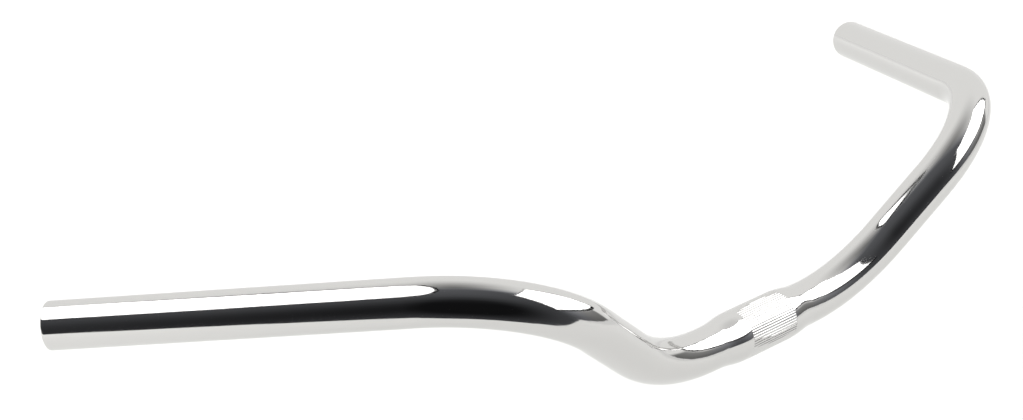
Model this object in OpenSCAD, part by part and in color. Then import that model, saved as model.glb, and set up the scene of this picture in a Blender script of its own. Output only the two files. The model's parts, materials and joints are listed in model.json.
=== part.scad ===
// Bicycle handlebar of swept-back city form: one aluminium tube, swelled and knurled at its middle for
// the stem, then bent up and back by four compound bends into two straight grip ends.
// Units are millimetres. The origin is the middle of the clamp zone, on the tube's axis.
// +X runs along the clamp zone to the rider's right, +Y points forward and +Z up.

/* [Tube] */
// Outside diameter of the tube, where grips and levers sit
tube_d = 22.2; // [20:0.1:24]
// Thickness of the tube wall, the same all along the bar
tube_wall = 2; // [1.2:0.1:3]
// Radius of the rounded outer edge at each open end
end_round = 0.6; // [0.2:0.1:0.7]
// Chamfer on the inner edge at each open end
end_deburr = 0.3; // [0.1:0.1:0.4]

/* [Clamp zone] */
// Outside diameter of the swelled zone that the stem clamps
clamp_d = 25.4; // [25:0.1:32]
// Length of the swelled zone between its two tapers
clamp_l = 35; // [28:1:60]
// Length of each taper, from the swelled zone down to the tube
taper_l = 17.5; // [8:0.5:30]
// Straight plain tube left between each taper and the first bend
neck_l = 3; // [3:0.5:30]

/* [Knurling] */
// Plain land left at each end of the swelled zone, outside the knurled band
knurl_land = 1; // [0.5:0.5:8]
// Number of grooves round the knurled band
knurl_count = 60; // [36:1:64]
// Width of a groove at the surface
knurl_w = 0.7; // [0.3:0.1:0.9]
// Depth of a groove
knurl_depth = 0.25; // [0.1:0.05:0.5]

/* [Inner bends] */
// Centre-line radius of the two bends beside the clamp zone
inner_r = 100; // [60:5:140]
// Angle that each inner bend turns through
inner_angle = 38; // [20:1:50]
// Slope of the plane of the inner bends, up from straight ahead, as the bar is clamped
rise_slope = 76.5; // [60:0.5:90]

/* [Outer bends] */
// Straight tube between the inner and the outer bend
link_l = 39; // [10:1:90]
// Turn of the tube about its own axis between the two bends
plane_turn = 128.5; // [115:0.5:150]
// Centre-line radius of the two bends in front of the grips
outer_r = 70; // [50:5:100]
// Angle that each outer bend turns through
outer_angle = 77; // [50:1:90]
// Length of each straight grip end
grip_l = 166; // [110:2:220]

/* [Hidden] */
$fn = 96;
tube_r = tube_d / 2;
clamp_r = clamp_d / 2;
knurl_l = clamp_l - 2 * knurl_land;
straight_l = clamp_l / 2 + taper_l + neck_l;
// Number of straight facets in a taper's outline
taper_steps = 16;
// Number of straight facets in the rounding of an open end
edge_steps = 6;
// How much less radius the tube has in a bend than in a straight, as bending leaves it
bend_slim = 0.05;
// Length on each side of a bend's end over which a straight draws down to it
draw_l = 2;
// Length by which a bend runs into the straight tube at each end
bend_lap = 1;
// How far a cut runs out past the solid
overshoot = 1;

// Points of one taper's outline as [radius, height], an S curve from the clamp zone to the tube
function taper_points(inset) = [
    for (i = [0 : taper_steps])
        let (t = i / taper_steps)
        [tube_r - inset + (clamp_r - tube_r) * (1 + cos(180 * t)) / 2, clamp_l / 2 + taper_l * t]
];

// Points where a straight that ends at height h draws down to a bend, as [radius, height]
function draw_points(r, h) = [[r, h - draw_l], [r - 2 * bend_slim, h + draw_l], [0, h + draw_l]];

// An outline's points from the last to the first, mirrored to negative heights
function mirrored(points) = [for (i = [len(points) - 1 : -1 : 0]) [points[i].x, -points[i].y]];

// Straight middle of the bar: clamp zone, two tapers and two necks, turned about X
module middle(inset) {
    half_points = concat(taper_points(inset), draw_points(tube_r - inset, straight_l));
    rotate([0, 90, 0])
        rotate_extrude() polygon(concat(mirrored(half_points), half_points));
}

// Straight run of radius r along +X between two bends
module run(length, r) {
    half_points = draw_points(r, length / 2);
    translate([length / 2, 0, 0])
        rotate([0, 90, 0])
            rotate_extrude() polygon(concat(mirrored(half_points), half_points));
}

// Bend that starts along +X and turns towards +Y. It laps into the straight tube at both ends.
module bend(bend_r, angle, r) {
    lap_angle = bend_lap / bend_r * 180 / PI;
    translate([0, bend_r, 0])
        rotate([0, 0, -90 - lap_angle])
            rotate_extrude(angle = angle + 2 * lap_angle)
                translate([bend_r, 0]) circle(r = r - bend_slim);
}

// Puts its children at the far end of a straight run
module past_run(length) {
    translate([length, 0, 0]) children();
}

// Puts its children at the far end of a bend, heading along the tube
module past_bend(bend_r, angle) {
    translate([bend_r * sin(angle), bend_r * (1 - cos(angle)), 0])
        rotate([0, 0, angle]) children();
}

// Grip end: a straight run from the bend to the open end, whose outer edge is rounded
module grip(r) {
    start = mirrored(draw_points(r, 0));
    round_points = [
        for (i = [0 : edge_steps])
            let (angle = 90 * i / edge_steps)
            [r - end_round * (1 - cos(angle)), grip_l - end_round * (1 - sin(angle))]
    ];
    rotate([0, 90, 0])
        rotate_extrude() polygon(concat(start, round_points, [[0, grip_l]]));
}

// Bore of a grip end: it flares to the inner chamfer and runs out past the end
module grip_bore(r) {
    flare = end_deburr + overshoot;
    rotate([0, 90, 0])
        rotate_extrude()
            polygon(concat(mirrored(draw_points(r, 0)), [
                [r, grip_l - end_deburr],
                [r + flare, grip_l + overshoot],
                [0, grip_l + overshoot]
            ]));
}

// One arm from the end of the straight middle to the grip, in the order it is bent
module arm(r) {
    rotate([rise_slope, 0, 0])
        past_run(straight_l) {
            bend(inner_r, inner_angle, r);
            past_bend(inner_r, inner_angle) {
                run(link_l, r);
                past_run(link_l)
                    rotate([plane_turn, 0, 0]) {
                        bend(outer_r, outer_angle, r);
                        past_bend(outer_r, outer_angle) children();
                    }
            }
        }
}

// Both arms, the left one a mirror image of the right
module arms(r) {
    arm(r) children();
    mirror([1, 0, 0]) arm(r) children();
}

// Outer form of the whole bar, as if it were solid
module outer_form() {
    middle(0);
    arms(tube_r) grip(tube_r);
}

// Hollow that runs right through the bar, widened under the clamp zone
module hollow() {
    middle(tube_wall);
    arms(tube_r - tube_wall) grip_bore(tube_r - tube_wall);
}

// Straight grooves pressed along the clamp zone, all the way round
module knurling() {
    for (i = [0 : knurl_count - 1])
        rotate([360 / knurl_count * i, 0, 0])
            translate([-knurl_l / 2, 0, clamp_r - knurl_depth])
                rotate([90, 0, 90])
                    linear_extrude(knurl_l)
                        polygon([[0, 0], [knurl_w, 2 * knurl_depth], [-knurl_w, 2 * knurl_depth]]);
}

module handlebar() {
    color("gainsboro")
        difference() {
            outer_form();
            hollow();
            knurling();
        }
}

handlebar();
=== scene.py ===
import json
import math

import bpy
from mathutils import Matrix, Vector


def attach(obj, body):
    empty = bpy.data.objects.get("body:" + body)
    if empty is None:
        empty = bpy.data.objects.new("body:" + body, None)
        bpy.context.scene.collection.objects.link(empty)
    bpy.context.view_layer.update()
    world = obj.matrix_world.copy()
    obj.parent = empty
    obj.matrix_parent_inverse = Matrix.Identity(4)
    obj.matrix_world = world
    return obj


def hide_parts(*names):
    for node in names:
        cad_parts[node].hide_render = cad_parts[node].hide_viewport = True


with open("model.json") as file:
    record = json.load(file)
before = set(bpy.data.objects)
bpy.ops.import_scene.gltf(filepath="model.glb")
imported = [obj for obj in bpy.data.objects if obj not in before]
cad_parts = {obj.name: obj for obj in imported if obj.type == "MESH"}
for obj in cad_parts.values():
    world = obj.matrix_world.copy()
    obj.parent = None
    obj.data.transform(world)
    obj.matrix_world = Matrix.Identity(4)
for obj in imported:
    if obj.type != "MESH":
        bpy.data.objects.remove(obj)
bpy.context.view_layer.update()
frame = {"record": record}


# The camera stands in front of the bar on the rider's right, a little above it, as in the photograph.
# Its place, heading and long lens are those at which the bent tube's outline meets the photographed one.
CAMERA_PLACE = (0.8221, 0.6219, 0.4702)
CAMERA_HEADING = -136.22
CAMERA_PITCH = -21.835
CAMERA_ROLL = 0.49
CAMERA_LENS = 81.0
SENSOR_WIDTH = 36.0

camera_data = bpy.data.cameras.new("camera")
camera_data.lens = CAMERA_LENS
camera_data.sensor_width = SENSOR_WIDTH
camera = bpy.data.objects.new("camera", camera_data)
bpy.context.scene.collection.objects.link(camera)
heading, pitch = math.radians(CAMERA_HEADING), math.radians(CAMERA_PITCH)
forward = Vector((math.cos(pitch) * math.cos(heading), math.cos(pitch) * math.sin(heading), math.sin(pitch)))
turned = forward.to_track_quat("-Z", "Y").to_matrix() @ Matrix.Rotation(math.radians(CAMERA_ROLL), 3, "Z")
camera.matrix_world = Matrix.Translation(CAMERA_PLACE) @ turned.to_4x4()
bpy.context.scene.camera = camera


# The handlebar is one drawn aluminium tube. Its middle is swelled from inside and pressed with straight
# grooves for the stem, and its ends are cut square and deburred. The rings of that straight blank are made
# first, and the node tree then bends them along the bender's centre line.
mounts = {mount["name"]: mount["dims"] for mount in frame["record"]["mounts"]}
TUBE_R = mounts["grip_right"]["r_mm"]
BORE_R = mounts["bar_end_right"]["r_mm"]
CLAMP_R = mounts["stem_clamp"]["r_mm"]
CLAMP_HALF = mounts["stem_clamp"]["length_mm"] / 2
WALL = TUBE_R - BORE_R
TAPER_L = 17.5
NECK_L = 3.0
RISE_SLOPE = 76.5
PLANE_TURN = 128.5
INNER_BEND = {"radius": 100.0, "angle": 38.0, "roll": RISE_SLOPE}
LINK_L = 39.0
OUTER_BEND = {"radius": 70.0, "angle": 77.0, "roll": RISE_SLOPE + PLANE_TURN}
GRIP_L = 166.0
BEND_SLIM = 0.05
DRAW_L = 2.0
END_ROUND = 0.6
END_DEBURR = 0.3
GROOVES = 60
GROOVE_W = 0.7
GROOVE_DEPTH = 0.25
GROOVE_PITCH = 2 * math.pi * CLAMP_R / GROOVES
GROOVE_LAND = 1.0
BAND_HALF = CLAMP_HALF - GROOVE_LAND
GROOVE_RUN_OUT = 0.4
POINTS_PER_GROOVE = 7
SIDE_POINTS = (POINTS_PER_GROOVE - 1) / 2
RING_STEP = 4.0
BORE_RING_STEP = 10.0
TAPER_STEPS = 12
EDGE_STEPS = 4
LINE_STEP = 0.5
SHARP_ANGLE = 28.0
# The sizes above are in millimetres, and Blender's own lengths are in metres.
MM = 0.001
SAME_PLACE = 0.001 * MM


def add_node(tree, kind, inputs=None, **settings):
    """Adds one node with its settings. An input is a value, or the socket that it is linked from."""
    node = tree.nodes.new(kind)
    for name, value in settings.items():
        setattr(node, name, value)
    for name, value in (inputs or {}).items():
        if isinstance(value, bpy.types.NodeSocket):
            tree.links.new(value, node.inputs[name])
        else:
            node.inputs[name].default_value = value
    return node


def linear(hex_colour):
    """An sRGB hex colour as the linear RGBA that a shader takes."""
    channels = [int(hex_colour[i:i + 2], 16) / 255 for i in (1, 3, 5)]
    return [c / 12.92 if c <= 0.04045 else ((c + 0.055) / 1.055) ** 2.4 for c in channels] + [1.0]


def arc_length(bend):
    """Length of a bend along the tube's centre line."""
    return bend["radius"] * math.radians(bend["angle"])


STRAIGHT_HALF = CLAMP_HALF + TAPER_L + NECK_L
INNER_END = STRAIGHT_HALF + arc_length(INNER_BEND)
OUTER_START = INNER_END + LINK_L
OUTER_END = OUTER_START + arc_length(OUTER_BEND)
HALF_LENGTH = OUTER_END + GRIP_L


def spaced(start, stop, step):
    """Even places from start to stop, at most step apart."""
    count = math.ceil((stop - start) / step)
    return [start + (stop - start) * i / count for i in range(count + 1)]


def right_arm_line():
    """Points of the right half's centre line, from the middle out, each with its side and up directions."""
    point, turn = Vector((0, 0, 0)), Matrix.Identity(3)
    places = [(point.copy(), turn.copy())]

    def feed(length, radius=None, roll=0.0):
        """Feeds a length of tube, straight or round a bend whose plane is turned by roll."""
        nonlocal point, turn
        count = math.ceil(length / LINE_STEP)
        step = length / count
        for _ in range(count):
            if radius is None:
                point = point + turn @ Vector((step, 0, 0))
            else:
                half_turn = Matrix.Rotation(step / radius / 2, 3, (0, -math.sin(roll), math.cos(roll)))
                chord = 2 * radius * math.sin(step / radius / 2)
                turn = turn @ half_turn
                point = point + turn @ Vector((chord, 0, 0))
                turn = turn @ half_turn
            places.append((point.copy(), turn.copy()))

    feed(STRAIGHT_HALF)
    feed(arc_length(INNER_BEND), INNER_BEND["radius"], math.radians(INNER_BEND["roll"]))
    feed(LINK_L)
    feed(arc_length(OUTER_BEND), OUTER_BEND["radius"], math.radians(OUTER_BEND["roll"]))
    feed(GRIP_L)
    return [(point, turn @ Vector((0, 1, 0)), turn @ Vector((0, 0, 1))) for point, turn in places]


def line_object(name, points, closed, vectors=None):
    """A mesh of edges through points in millimetres, with named direction attributes."""
    mesh = bpy.data.meshes.new(name)
    edges = [(i, i + 1) for i in range(len(points) - 1)] + ([(len(points) - 1, 0)] if closed else [])
    mesh.from_pydata([Vector(p) * MM for p in points], edges, [])
    for label, values in (vectors or {}).items():
        attribute = mesh.attributes.new(label, "FLOAT_VECTOR", "POINT")
        attribute.data.foreach_set("vector", [c for value in values for c in value])
    made = bpy.data.objects.new(name, mesh)
    bpy.context.scene.collection.objects.link(made)
    return made


def centre_line():
    """The whole centre line, from the left end to the right. The left half mirrors the right one."""
    right = right_arm_line()
    left = [[Vector((-v.x, v.y, v.z)) for v in place] for place in reversed(right[1:])]
    whole = left + [list(place) for place in right]
    return line_object("centre_line", [w[0] for w in whole], False,
                       {"side": [w[1] for w in whole], "up": [w[2] for w in whole]})


def taper_radius(share, inset):
    """Radius at a share of the way down a taper, less an inset for the bore."""
    return TUBE_R - inset + (CLAMP_R - TUBE_R) * (1 + math.cos(math.pi * share)) / 2


def wall_outline(inset, step):
    """Places along one half of the tube and its radius there, from the start of the taper outwards."""
    outline = [(CLAMP_HALF + TAPER_L * i / TAPER_STEPS, taper_radius(i / TAPER_STEPS, inset))
               for i in range(TAPER_STEPS + 1)]
    for start, stop in ((STRAIGHT_HALF, INNER_END), (OUTER_START, OUTER_END)):
        outline.append((start - DRAW_L, TUBE_R - inset))
        outline += [(x, TUBE_R - inset - BEND_SLIM) for x in spaced(start, stop, step)]
        outline.append((stop + DRAW_L, TUBE_R - inset))
    return outline


def half_outline():
    """The right half's outline: the outside from the middle out, the mouth, and the bore back in."""
    outside = [(0, CLAMP_R), (BAND_HALF, CLAMP_R), (BAND_HALF + GROOVE_RUN_OUT, CLAMP_R)]
    outside += wall_outline(0, RING_STEP)
    guard = [(HALF_LENGTH - 2 * END_ROUND, TUBE_R)]
    rounding = [(HALF_LENGTH - END_ROUND * (1 - math.sin(a)), TUBE_R - END_ROUND * (1 - math.cos(a)))
                for a in (math.pi / 2 * i / EDGE_STEPS for i in range(EDGE_STEPS + 1))]
    mouth = [(HALF_LENGTH, BORE_R + END_DEBURR), (HALF_LENGTH - END_DEBURR, BORE_R)]
    bore_guard = [(HALF_LENGTH - 3 * END_DEBURR, BORE_R)]
    bore = list(reversed(wall_outline(WALL, BORE_RING_STEP)))
    return outside + guard + rounding + mouth + bore_guard + bore + [(0, CLAMP_R - WALL)]


def blank_outline():
    """The closed outline of the whole blank, as a line in the plane of its axis."""
    right = half_outline()
    left = [(-x, r) for x, r in reversed(right[1:-1])]
    return line_object("blank_outline", [(x, r, 0) for x, r in right + left], True)


def tube_tree():
    """Turns the outline into a closed tube, presses the grooves, and bends it along the centre line."""
    tree = bpy.data.node_groups.new("bent_tube", "GeometryNodeTree")
    tree.interface.new_socket("Centre line", in_out="INPUT", socket_type="NodeSocketGeometry")
    sizes = (("Outline", "NodeSocketObject"), ("Rings", "NodeSocketInt"),
             ("Points round", "NodeSocketInt"), ("Half length", "NodeSocketFloat"),
             ("Grooves", "NodeSocketInt"), ("Groove share", "NodeSocketFloat"),
             ("Groove depth", "NodeSocketFloat"), ("Band half length", "NodeSocketFloat"),
             ("Run out", "NodeSocketFloat"), ("Grooved radius", "NodeSocketFloat"),
             ("Bore radius", "NodeSocketFloat"), ("Outside finish", "NodeSocketMaterial"),
             ("Bore finish", "NodeSocketMaterial"))
    for name, kind in sizes:
        tree.interface.new_socket(name, in_out="INPUT", socket_type=kind)
    tree.interface.new_socket("Tube", in_out="OUTPUT", socket_type="NodeSocketGeometry")
    given = add_node(tree, "NodeGroupInput").outputs

    # A grid has a row for each point of the outline and a column for each point round the tube, and one
    # more of each, which falls on the first and closes it.
    outline = add_node(tree, "GeometryNodeObjectInfo", {"Object": given["Outline"]}).outputs["Geometry"]
    rows = add_node(tree, "ShaderNodeMath", {0: given["Rings"], 1: 1.0}, operation="ADD").outputs[0]
    columns = add_node(tree, "ShaderNodeMath", {0: given["Points round"], 1: 1.0},
                       operation="ADD").outputs[0]
    grid = add_node(tree, "GeometryNodeMeshGrid",
                    {"Vertices X": rows, "Vertices Y": columns}).outputs["Mesh"]
    index = add_node(tree, "GeometryNodeInputIndex").outputs[0]
    row = add_node(tree, "FunctionNodeIntegerMath", {0: index, 1: columns},
                   operation="DIVIDE_FLOOR").outputs[0]
    ring = add_node(tree, "FunctionNodeIntegerMath", {0: row, 1: given["Rings"]},
                    operation="MODULO").outputs[0]
    column = add_node(tree, "FunctionNodeIntegerMath", {0: index, 1: columns},
                      operation="MODULO").outputs[0]

    # The points round the tube gather in the grooves, with one at each edge of the land between two.
    cell = add_node(tree, "FunctionNodeIntegerMath", {0: column, 1: POINTS_PER_GROOVE},
                    operation="DIVIDE_FLOOR").outputs[0]
    in_cell = add_node(tree, "FunctionNodeIntegerMath", {0: column, 1: POINTS_PER_GROOVE},
                       operation="MODULO").outputs[0]
    off_centre = add_node(tree, "ShaderNodeMath", {0: in_cell, 1: SIDE_POINTS},
                          operation="SUBTRACT").outputs[0]
    off_centre = add_node(tree, "ShaderNodeMath", {0: off_centre, 1: SIDE_POINTS},
                          operation="DIVIDE").outputs[0]
    share = add_node(tree, "ShaderNodeMath", {0: off_centre, 1: given["Groove share"], 2: cell},
                     operation="MULTIPLY_ADD").outputs[0]
    share = add_node(tree, "ShaderNodeMath", {0: share, 1: given["Grooves"]}, operation="DIVIDE").outputs[0]
    angle = add_node(tree, "ShaderNodeMath", {0: share, 1: 2 * math.pi}, operation="MULTIPLY").outputs[0]
    position = add_node(tree, "GeometryNodeInputPosition").outputs[0]
    place = add_node(tree, "GeometryNodeSampleIndex",
                     {"Geometry": outline, "Value": position, "Index": ring},
                     data_type="FLOAT_VECTOR", domain="POINT").outputs["Value"]
    along_radius = add_node(tree, "ShaderNodeSeparateXYZ", {0: place}).outputs
    along, radius = along_radius["X"], along_radius["Y"]

    # A groove is a rounded dip across its width, and it rises to the surface at the ends of the band.
    wave = add_node(tree, "ShaderNodeMath", {0: off_centre, 1: math.pi}, operation="MULTIPLY").outputs[0]
    wave = add_node(tree, "ShaderNodeMath", {0: wave}, operation="COSINE").outputs[0]
    slope = add_node(tree, "ShaderNodeMath", {0: wave, 1: 0.5, 2: 0.5}, operation="MULTIPLY_ADD").outputs[0]
    along_size = add_node(tree, "ShaderNodeMath", {0: along}, operation="ABSOLUTE").outputs[0]
    past_band = add_node(tree, "ShaderNodeMath", {0: along_size, 1: given["Band half length"]},
                         operation="SUBTRACT").outputs[0]
    in_band = add_node(tree, "ShaderNodeMapRange",
                       {"Value": past_band, "From Max": given["Run out"],
                        "To Min": 1.0, "To Max": 0.0}).outputs[0]
    outside = add_node(tree, "ShaderNodeMath", {0: radius, 1: given["Grooved radius"]},
                       operation="GREATER_THAN").outputs[0]
    depth = given["Groove depth"]
    for factor in (slope, in_band, outside):
        depth = add_node(tree, "ShaderNodeMath", {0: depth, 1: factor}, operation="MULTIPLY").outputs[0]
    pressed = add_node(tree, "ShaderNodeMath", {0: radius, 1: depth}, operation="SUBTRACT").outputs[0]
    cosine = add_node(tree, "ShaderNodeMath", {0: angle}, operation="COSINE").outputs[0]
    sine = add_node(tree, "ShaderNodeMath", {0: angle}, operation="SINE").outputs[0]
    across = add_node(tree, "ShaderNodeMath", {0: pressed, 1: cosine}, operation="MULTIPLY").outputs[0]
    above = add_node(tree, "ShaderNodeMath", {0: pressed, 1: sine}, operation="MULTIPLY").outputs[0]
    straight = add_node(tree, "ShaderNodeCombineXYZ", {"X": along, "Y": across, "Z": above}).outputs[0]
    blank = add_node(tree, "GeometryNodeSetPosition", {"Geometry": grid, "Position": straight}).outputs[0]
    blank = add_node(tree, "GeometryNodeMergeByDistance",
                     {"Geometry": blank, "Distance": SAME_PLACE}).outputs[0]
    # Closed up this way, the grid's faces look into the metal, so they are turned to look out of it.
    blank = add_node(tree, "GeometryNodeFlipFaces", {"Mesh": blank}).outputs[0]
    blank = add_node(tree, "GeometryNodeStoreNamedAttribute",
                     {"Geometry": blank, "Name": "blank", "Value": position},
                     data_type="FLOAT_VECTOR", domain="POINT").outputs[0]

    # Edges along the tube are smooth, and those round it stay sharp at the mouth and the grooves' ends.
    edge_angle = add_node(tree, "GeometryNodeInputMeshEdgeAngle").outputs["Unsigned Angle"]
    gentle = add_node(tree, "ShaderNodeMath", {0: edge_angle, 1: math.radians(SHARP_ANGLE)},
                      operation="LESS_THAN").outputs[0]
    edge_ends = add_node(tree, "GeometryNodeInputMeshEdgeVertices").outputs
    run = add_node(tree, "ShaderNodeVectorMath", {0: edge_ends["Position 1"], 1: edge_ends["Position 2"]},
                   operation="SUBTRACT").outputs[0]
    run = add_node(tree, "ShaderNodeSeparateXYZ", {0: run}).outputs["X"]
    run = add_node(tree, "ShaderNodeMath", {0: run}, operation="ABSOLUTE").outputs[0]
    lengthwise = add_node(tree, "ShaderNodeMath", {0: run, 1: SAME_PLACE},
                          operation="GREATER_THAN").outputs[0]
    gentle = add_node(tree, "ShaderNodeMath", {0: gentle, 1: lengthwise}, operation="MAXIMUM").outputs[0]
    blank = add_node(tree, "GeometryNodeSetShadeSmooth", {"Geometry": blank, "Shade Smooth": True},
                     domain="FACE").outputs[0]
    blank = add_node(tree, "GeometryNodeSetShadeSmooth", {"Geometry": blank, "Shade Smooth": gentle},
                     domain="EDGE").outputs[0]

    # The bender: each point goes to its length along the centre line, and out along the directions there.
    curve = add_node(tree, "GeometryNodeMeshToCurve", {"Mesh": given["Centre line"]}).outputs[0]
    blank_place = add_node(tree, "ShaderNodeSeparateXYZ", {0: position}).outputs
    fed = add_node(tree, "ShaderNodeMath", {0: blank_place["X"], 1: given["Half length"]},
                   operation="ADD").outputs[0]
    bent = None
    for label, amount in (("side", blank_place["Y"]), ("up", blank_place["Z"])):
        direction = add_node(tree, "GeometryNodeInputNamedAttribute", {"Name": label},
                             data_type="FLOAT_VECTOR").outputs["Attribute"]
        sample = add_node(tree, "GeometryNodeSampleCurve",
                          {"Curves": curve, "Value": direction, "Length": fed},
                          mode="LENGTH", data_type="FLOAT_VECTOR", use_all_curves=True)
        unit = add_node(tree, "ShaderNodeVectorMath", {0: sample.outputs["Value"]},
                        operation="NORMALIZE").outputs[0]
        reach = add_node(tree, "ShaderNodeVectorMath", {0: unit, "Scale": amount},
                         operation="SCALE").outputs[0]
        start = sample.outputs["Position"] if bent is None else bent
        bent = add_node(tree, "ShaderNodeVectorMath", {0: start, 1: reach}, operation="ADD").outputs[0]
    tube = add_node(tree, "GeometryNodeSetPosition", {"Geometry": blank, "Position": bent}).outputs[0]

    # The outside is polished, and what lies within the bore keeps the finish that it was drawn with.
    tube = add_node(tree, "GeometryNodeRealizeInstances", {"Geometry": tube}).outputs[0]
    tube = add_node(tree, "GeometryNodeSetMaterial",
                    {"Geometry": tube, "Material": given["Outside finish"]}).outputs[0]
    stored = add_node(tree, "GeometryNodeInputNamedAttribute", {"Name": "blank"},
                      data_type="FLOAT_VECTOR").outputs["Attribute"]
    stored_place = add_node(tree, "ShaderNodeSeparateXYZ", {0: stored}).outputs
    flat = add_node(tree, "ShaderNodeCombineXYZ",
                    {"Y": stored_place["Y"], "Z": stored_place["Z"]}).outputs[0]
    stored_radius = add_node(tree, "ShaderNodeVectorMath", {0: flat}, operation="LENGTH").outputs["Value"]
    in_bore = add_node(tree, "ShaderNodeMath", {0: stored_radius, 1: given["Bore radius"]},
                       operation="LESS_THAN").outputs[0]
    tube = add_node(tree, "GeometryNodeSetMaterial",
                    {"Geometry": tube, "Selection": in_bore, "Material": given["Bore finish"]}).outputs[0]
    add_node(tree, "NodeGroupOutput", {"Tube": tube})
    return tree


# Polished and clear-anodised aluminium: a pale neutral grey mirror, very slightly veiled, that keeps the
# edges of what it reflects sharp. Its polishing lines run along the tube. They are finer on a real bar,
# and are drawn here as coarse as they need to be to show.
POLISHING_LINES_PER_MM = (0.04, 1.4, 1.4)
POLISHING_CLOUDS_PER_MM = 0.09
POLISHED_ROUGHNESS = {"From Min": 0.1, "From Max": 0.4, "To Min": 0.05, "To Max": 0.1}
POLISHED_BUMP = {"Strength": 0.025, "Distance": 0.0001}


def polished_aluminium():
    material = bpy.data.materials.new("polished_anodised_aluminium")
    material.use_nodes = True
    tree = material.node_tree
    shader = tree.nodes["Principled BSDF"]
    shader.inputs["Base Color"].default_value = linear("#D0CFCE")
    shader.inputs["Specular Tint"].default_value = linear("#F2F2F2")
    shader.inputs["Metallic"].default_value = 1.0
    blank = add_node(tree, "ShaderNodeAttribute", attribute_name="blank").outputs["Vector"]
    stretched = add_node(tree, "ShaderNodeMapping",
                         {"Vector": blank, "Scale": [n / MM for n in POLISHING_LINES_PER_MM]}).outputs[0]
    lines = add_node(tree, "ShaderNodeTexNoise",
                     {"Vector": stretched, "Scale": 1.0, "Detail": 3.0}).outputs[0]
    cloudy = add_node(tree, "ShaderNodeTexNoise",
                      {"Vector": blank, "Scale": POLISHING_CLOUDS_PER_MM / MM, "Detail": 2.0}).outputs[0]
    mixed = add_node(tree, "ShaderNodeMath", {0: lines, 1: cloudy}, operation="MULTIPLY").outputs[0]
    roughness = add_node(tree, "ShaderNodeMapRange", {"Value": mixed, **POLISHED_ROUGHNESS}).outputs[0]
    tree.links.new(roughness, shader.inputs["Roughness"])
    bump = add_node(tree, "ShaderNodeBump", {"Height": lines, **POLISHED_BUMP}).outputs[0]
    tree.links.new(bump, shader.inputs["Normal"])
    return material


# The bore is left as the tube was drawn and anodised: a dull, even grey that blurs what it reflects, with
# faint lines along it where the tube slid over the drawing plug.
DRAWN_LINES_PER_MM = (0.06, 0.9, 0.9)
DRAWN_ROUGHNESS = {"From Min": 0.3, "From Max": 0.7, "To Min": 0.32, "To Max": 0.5}
DRAWN_BUMP = {"Strength": 0.3, "Distance": 0.0002}


def drawn_bore():
    material = bpy.data.materials.new("drawn_anodised_bore")
    material.use_nodes = True
    tree = material.node_tree
    shader = tree.nodes["Principled BSDF"]
    shader.inputs["Base Color"].default_value = linear("#B9BABB")
    shader.inputs["Metallic"].default_value = 1.0
    blank = add_node(tree, "ShaderNodeAttribute", attribute_name="blank").outputs["Vector"]
    stretched = add_node(tree, "ShaderNodeMapping",
                         {"Vector": blank, "Scale": [n / MM for n in DRAWN_LINES_PER_MM]}).outputs[0]
    lines = add_node(tree, "ShaderNodeTexNoise",
                     {"Vector": stretched, "Scale": 1.0, "Detail": 3.0}).outputs[0]
    roughness = add_node(tree, "ShaderNodeMapRange", {"Value": lines, **DRAWN_ROUGHNESS}).outputs[0]
    tree.links.new(roughness, shader.inputs["Roughness"])
    bump = add_node(tree, "ShaderNodeBump", {"Height": lines, **DRAWN_BUMP}).outputs[0]
    tree.links.new(bump, shader.inputs["Normal"])
    return material


line, outline = centre_line(), blank_outline()
tree = tube_tree()
bender = line.modifiers.new("bender", "NODES")
bender.node_group = tree
values = {
    "Outline": outline,
    "Rings": len(outline.data.vertices),
    "Points round": GROOVES * POINTS_PER_GROOVE,
    "Half length": HALF_LENGTH * MM,
    "Grooves": GROOVES,
    "Groove share": GROOVE_W / 2 / GROOVE_PITCH,
    "Groove depth": GROOVE_DEPTH * MM,
    "Band half length": BAND_HALF * MM,
    "Run out": GROOVE_RUN_OUT * MM,
    "Grooved radius": (CLAMP_R - WALL / 2) * MM,
    "Bore radius": (BORE_R + END_DEBURR / 2) * MM,
    "Outside finish": polished_aluminium(),
    "Bore finish": drawn_bore(),
}
for socket in tree.interface.items_tree:
    if socket.item_type == "SOCKET" and socket.name in values:
        bender[socket.identifier] = values[socket.name]
bpy.context.view_layer.update()
evaluated = line.evaluated_get(bpy.context.evaluated_depsgraph_get())
bar = bpy.data.objects.new("bar", bpy.data.meshes.new_from_object(evaluated))
bpy.context.scene.collection.objects.link(bar)
line.modifiers.remove(bender)
for helper in (line, outline):
    bpy.data.objects.remove(helper)
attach(bar, "root")
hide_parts("handlebar")


# The bar is shown over a plain white table, whose front edge runs close by it on the camera's side. The
# dark studio beyond that edge shows in the lower half of the tube, as it does in the photograph.
TABLE_HEIGHT = -0.15
TABLE_CORNERS = ((0.99, -0.10), (0.66, 0.0), (0.33, 0.07), (0.12, 0.25), (-0.02, 0.46), (-0.16, 0.66),
                 (-0.32, 0.84), (-0.68, 1.29), (-4.0, 1.29), (-4.0, -4.0), (2.5, -4.0), (2.5, -0.6))
TABLE_GLOW = {"near": 0.13, "far": 0.5, "from": 0.2, "to": 2.0}

table_mesh = bpy.data.meshes.new("table")
table_mesh.from_pydata([(x, y, TABLE_HEIGHT) for x, y in TABLE_CORNERS], [], [range(len(TABLE_CORNERS))])
table = bpy.data.objects.new("table", table_mesh)
bpy.context.scene.collection.objects.link(table)

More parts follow.
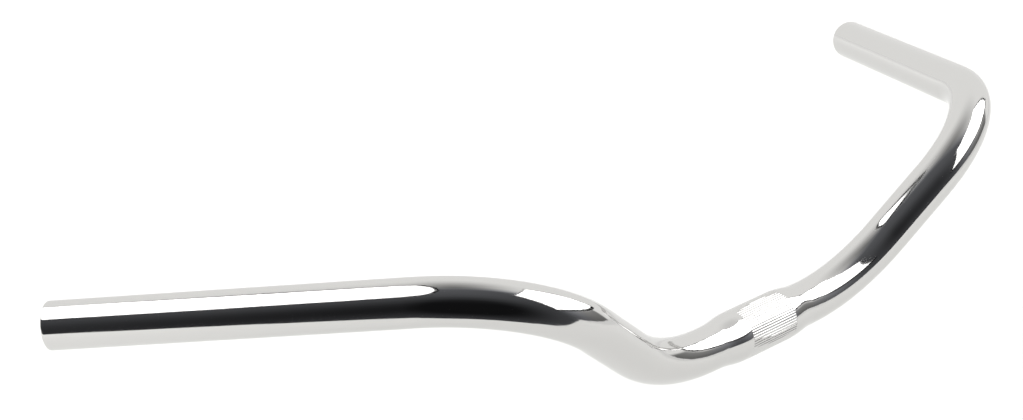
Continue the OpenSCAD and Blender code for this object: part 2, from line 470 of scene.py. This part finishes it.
# White paint on board: matt and even, so that it shows nothing but the bar's soft shadow. It glows a
# little to the camera and in the metal, more so far off, and so stays white where the lamps don't reach.
table_paint = bpy.data.materials.new("white_table_board")
table_paint.use_nodes = True
paint_tree = table_paint.node_tree
paint = paint_tree.nodes["Principled BSDF"]
paint.inputs["Base Color"].default_value = linear("#E8E8E6")
paint.inputs["Roughness"].default_value = 1.0
paint.inputs["Specular IOR Level"].default_value = 0.0
paint.inputs["Emission Color"].default_value = linear("#FFFFFF")
looks = add_node(paint_tree, "ShaderNodeLightPath").outputs
seen = add_node(paint_tree, "ShaderNodeMath", {0: looks["Is Camera Ray"], 1: looks["Is Glossy Ray"]},
                operation="MAXIMUM").outputs[0]
seen = add_node(paint_tree, "ShaderNodeMath", {0: seen, 1: looks["Is Transmission Ray"]},
                operation="MAXIMUM").outputs[0]
spot = add_node(paint_tree, "ShaderNodeTexCoord").outputs["Object"]
distance = add_node(paint_tree, "ShaderNodeVectorMath", {0: spot}, operation="LENGTH").outputs["Value"]
glow = add_node(paint_tree, "ShaderNodeMapRange",
                {"Value": distance, "From Min": TABLE_GLOW["from"], "From Max": TABLE_GLOW["to"],
                 "To Min": TABLE_GLOW["near"], "To Max": TABLE_GLOW["far"]},
                interpolation_type="SMOOTHSTEP").outputs[0]
glow = add_node(paint_tree, "ShaderNodeMath", {0: seen, 1: glow}, operation="MULTIPLY").outputs[0]
paint_tree.links.new(glow, paint.inputs["Emission Strength"])
table.data.materials.append(table_paint)


# Two softboxes light the bar: a large oval one hangs over it on the rider's right, behind, and a square
# one stands in front of it on the rider's left. They show in the metal as its two clean white bands, and
# the black rims round their faces show as the thin dark lines beside those bands.
SOFTBOX_BRIGHTNESS = 2.2
SOFTBOXES = (
    ("oval_softbox", "ELLIPSE", (2.04, 2.5), (1.22, -1.02, 1.6), (0, 0, -1)),
    ("square_softbox", "RECTANGLE", (1.74, 1.63), (-1.08, 0.74, 1.28), (0.766, -0.643, 0)),
)
RIM_WIDTH = 0.08
RIM_SIDES = {"ELLIPSE": 64, "RECTANGLE": 4}

# Black cloth, which gives back almost no light.
rim_cloth = bpy.data.materials.new("black_softbox_cloth")
rim_cloth.use_nodes = True
cloth = rim_cloth.node_tree.nodes["Principled BSDF"]
cloth.inputs["Base Color"].default_value = linear("#141414")
cloth.inputs["Roughness"].default_value = 1.0
cloth.inputs["Specular IOR Level"].default_value = 0.0


def black_rim(name, shape, half_width, half_height, placed):
    """A flat rim of cloth round a softbox's face. A rectangle is made as an ellipse of four sides."""
    count = RIM_SIDES[shape]
    turn, reach = (0.5, math.sqrt(2)) if shape == "RECTANGLE" else (0.0, 1.0)
    corners = []
    for extra in (0.0, RIM_WIDTH):
        for i in range(count):
            angle = 2 * math.pi * (i + turn) / count
            across = reach * math.cos(angle) * (half_width + extra)
            above = reach * math.sin(angle) * (half_height + extra)
            corners.append(placed @ Vector((across, above, 0)))
    faces = [(i, (i + 1) % count, count + (i + 1) % count, count + i) for i in range(count)]
    mesh = bpy.data.meshes.new(name)
    mesh.from_pydata(corners, [], faces)
    mesh.materials.append(rim_cloth)
    rim = bpy.data.objects.new(name, mesh)
    rim.visible_camera = False
    bpy.context.scene.collection.objects.link(rim)


for name, shape, (width, height), place, heading in SOFTBOXES:
    lamp = bpy.data.lights.new(name, "AREA")
    lamp.shape = shape
    lamp.size = width
    lamp.size_y = height
    area = width * height * (math.pi / 4 if shape == "ELLIPSE" else 1)
    # A face of brightness 1 takes four watts a square metre.
    lamp.energy = 4 * area * SOFTBOX_BRIGHTNESS
    softbox = bpy.data.objects.new(name, lamp)
    softbox.matrix_world = (Matrix.Translation(place)
                            @ Vector(heading).to_track_quat("-Z", "Y").to_matrix().to_4x4())
    softbox.visible_camera = False
    bpy.context.scene.collection.objects.link(softbox)
    black_rim(name + "_rim", shape, width / 2, height / 2, softbox.matrix_world)


# The rest of the studio: pale walls behind the bar under a dimmer ceiling, and the dark, faintly blue room
# on the camera's side, which also shows as a dim strip between the table and the square softbox. The
# metal shows all of it, and the camera sees plain white instead.
PALE = {"walls": 1.08, "ceiling": 0.25, "from": 40, "to": 95}
DARK = {"low": 0.009, "high": 0.125, "from": 10, "to": 120}
DARK_SIDE = {"azimuth": 53, "centre": 25, "rim": 60, "rim_lift": 0.06, "edge": 75, "end": 97}
STRIP = {"azimuth": 148, "left": (-38, -12), "right": (17, 23), "top": (10, 18)}
STRIP_LEVEL = {"low": 0.17, "high": 0.32, "from": -5, "to": 15}
CAMERA_WHITE = 1.0

world = bpy.data.worlds.new("studio")
world.use_nodes = True
bpy.context.scene.world = world
sky = world.node_tree
sky.nodes.clear()
direction = add_node(sky, "ShaderNodeTexCoord").outputs["Generated"]
height_of = add_node(sky, "ShaderNodeSeparateXYZ", {0: direction}).outputs["Z"]
rise = add_node(sky, "ShaderNodeMath", {0: height_of}, operation="ARCSINE").outputs[0]


def angles_from(azimuth):
    """The angle between the direction looked in and a level heading, and its part round the vertical."""
    turn = math.radians(azimuth)
    heading = (math.cos(turn), math.sin(turn), 0)
    sideways = (-math.sin(turn), math.cos(turn), 0)
    toward = add_node(sky, "ShaderNodeVectorMath", {0: direction, 1: heading},
                      operation="DOT_PRODUCT").outputs["Value"]
    beside = add_node(sky, "ShaderNodeVectorMath", {0: direction, 1: sideways},
                      operation="DOT_PRODUCT").outputs["Value"]
    whole = add_node(sky, "ShaderNodeMath", {0: toward}, operation="ARCCOSINE").outputs[0]
    level = add_node(sky, "ShaderNodeMath", {0: beside, 1: toward}, operation="ARCTAN2").outputs[0]
    return whole, level


def fade(value, start, stop, low, high):
    """A smooth change from low to high while an angle goes from start to stop degrees."""
    return add_node(sky, "ShaderNodeMapRange",
                    {"Value": value, "From Min": math.radians(start), "From Max": math.radians(stop),
                     "To Min": low, "To Max": high}, interpolation_type="SMOOTHSTEP").outputs[0]


# A Mix node takes its share at input 0, its two numbers at 2 and 3, and its two colours at 6 and 7.
away = angles_from(DARK_SIDE["azimuth"])[0]
pale = fade(rise, PALE["from"], PALE["to"], PALE["walls"], PALE["ceiling"])
dark = fade(rise, DARK["from"], DARK["to"], DARK["low"], DARK["high"])
rim = fade(away, DARK_SIDE["centre"], DARK_SIDE["rim"], 0, DARK_SIDE["rim_lift"])
dark = add_node(sky, "ShaderNodeMath", {0: dark, 1: rim}, operation="ADD").outputs[0]
pale_share = fade(away, DARK_SIDE["edge"], DARK_SIDE["end"], 0, 1)
level = add_node(sky, "ShaderNodeMix", {0: pale_share, 2: dark, 3: pale}).outputs[0]
aside = angles_from(STRIP["azimuth"])[1]
strip_level = fade(rise, STRIP_LEVEL["from"], STRIP_LEVEL["to"], STRIP_LEVEL["low"], STRIP_LEVEL["high"])
strip = fade(aside, *STRIP["left"], 0, 1)
for angle, (start, stop) in ((aside, STRIP["right"]), (rise, STRIP["top"])):
    edge = fade(angle, start, stop, 1, 0)
    strip = add_node(sky, "ShaderNodeMath", {0: strip, 1: edge}, operation="MULTIPLY").outputs[0]
level = add_node(sky, "ShaderNodeMix", {0: strip, 2: level, 3: strip_level}).outputs[0]
ray = add_node(sky, "ShaderNodeLightPath").outputs["Is Camera Ray"]
shown = add_node(sky, "ShaderNodeMix", {0: ray, 2: level, 3: CAMERA_WHITE}).outputs[0]
tint = add_node(sky, "ShaderNodeMix", {0: pale_share, 6: linear("#F4F7FF"), 7: linear("#FFFFFD")},
                data_type="RGBA").outputs[2]
tint = add_node(sky, "ShaderNodeMix", {0: ray, 6: tint, 7: linear("#FFFFFF")}, data_type="RGBA").outputs[2]
surround = add_node(sky, "ShaderNodeBackground", {"Color": tint, "Strength": shown}).outputs[0]
add_node(sky, "ShaderNodeOutputWorld", {"Surface": surround})

bpy.context.scene.view_settings.view_transform = "Standard"
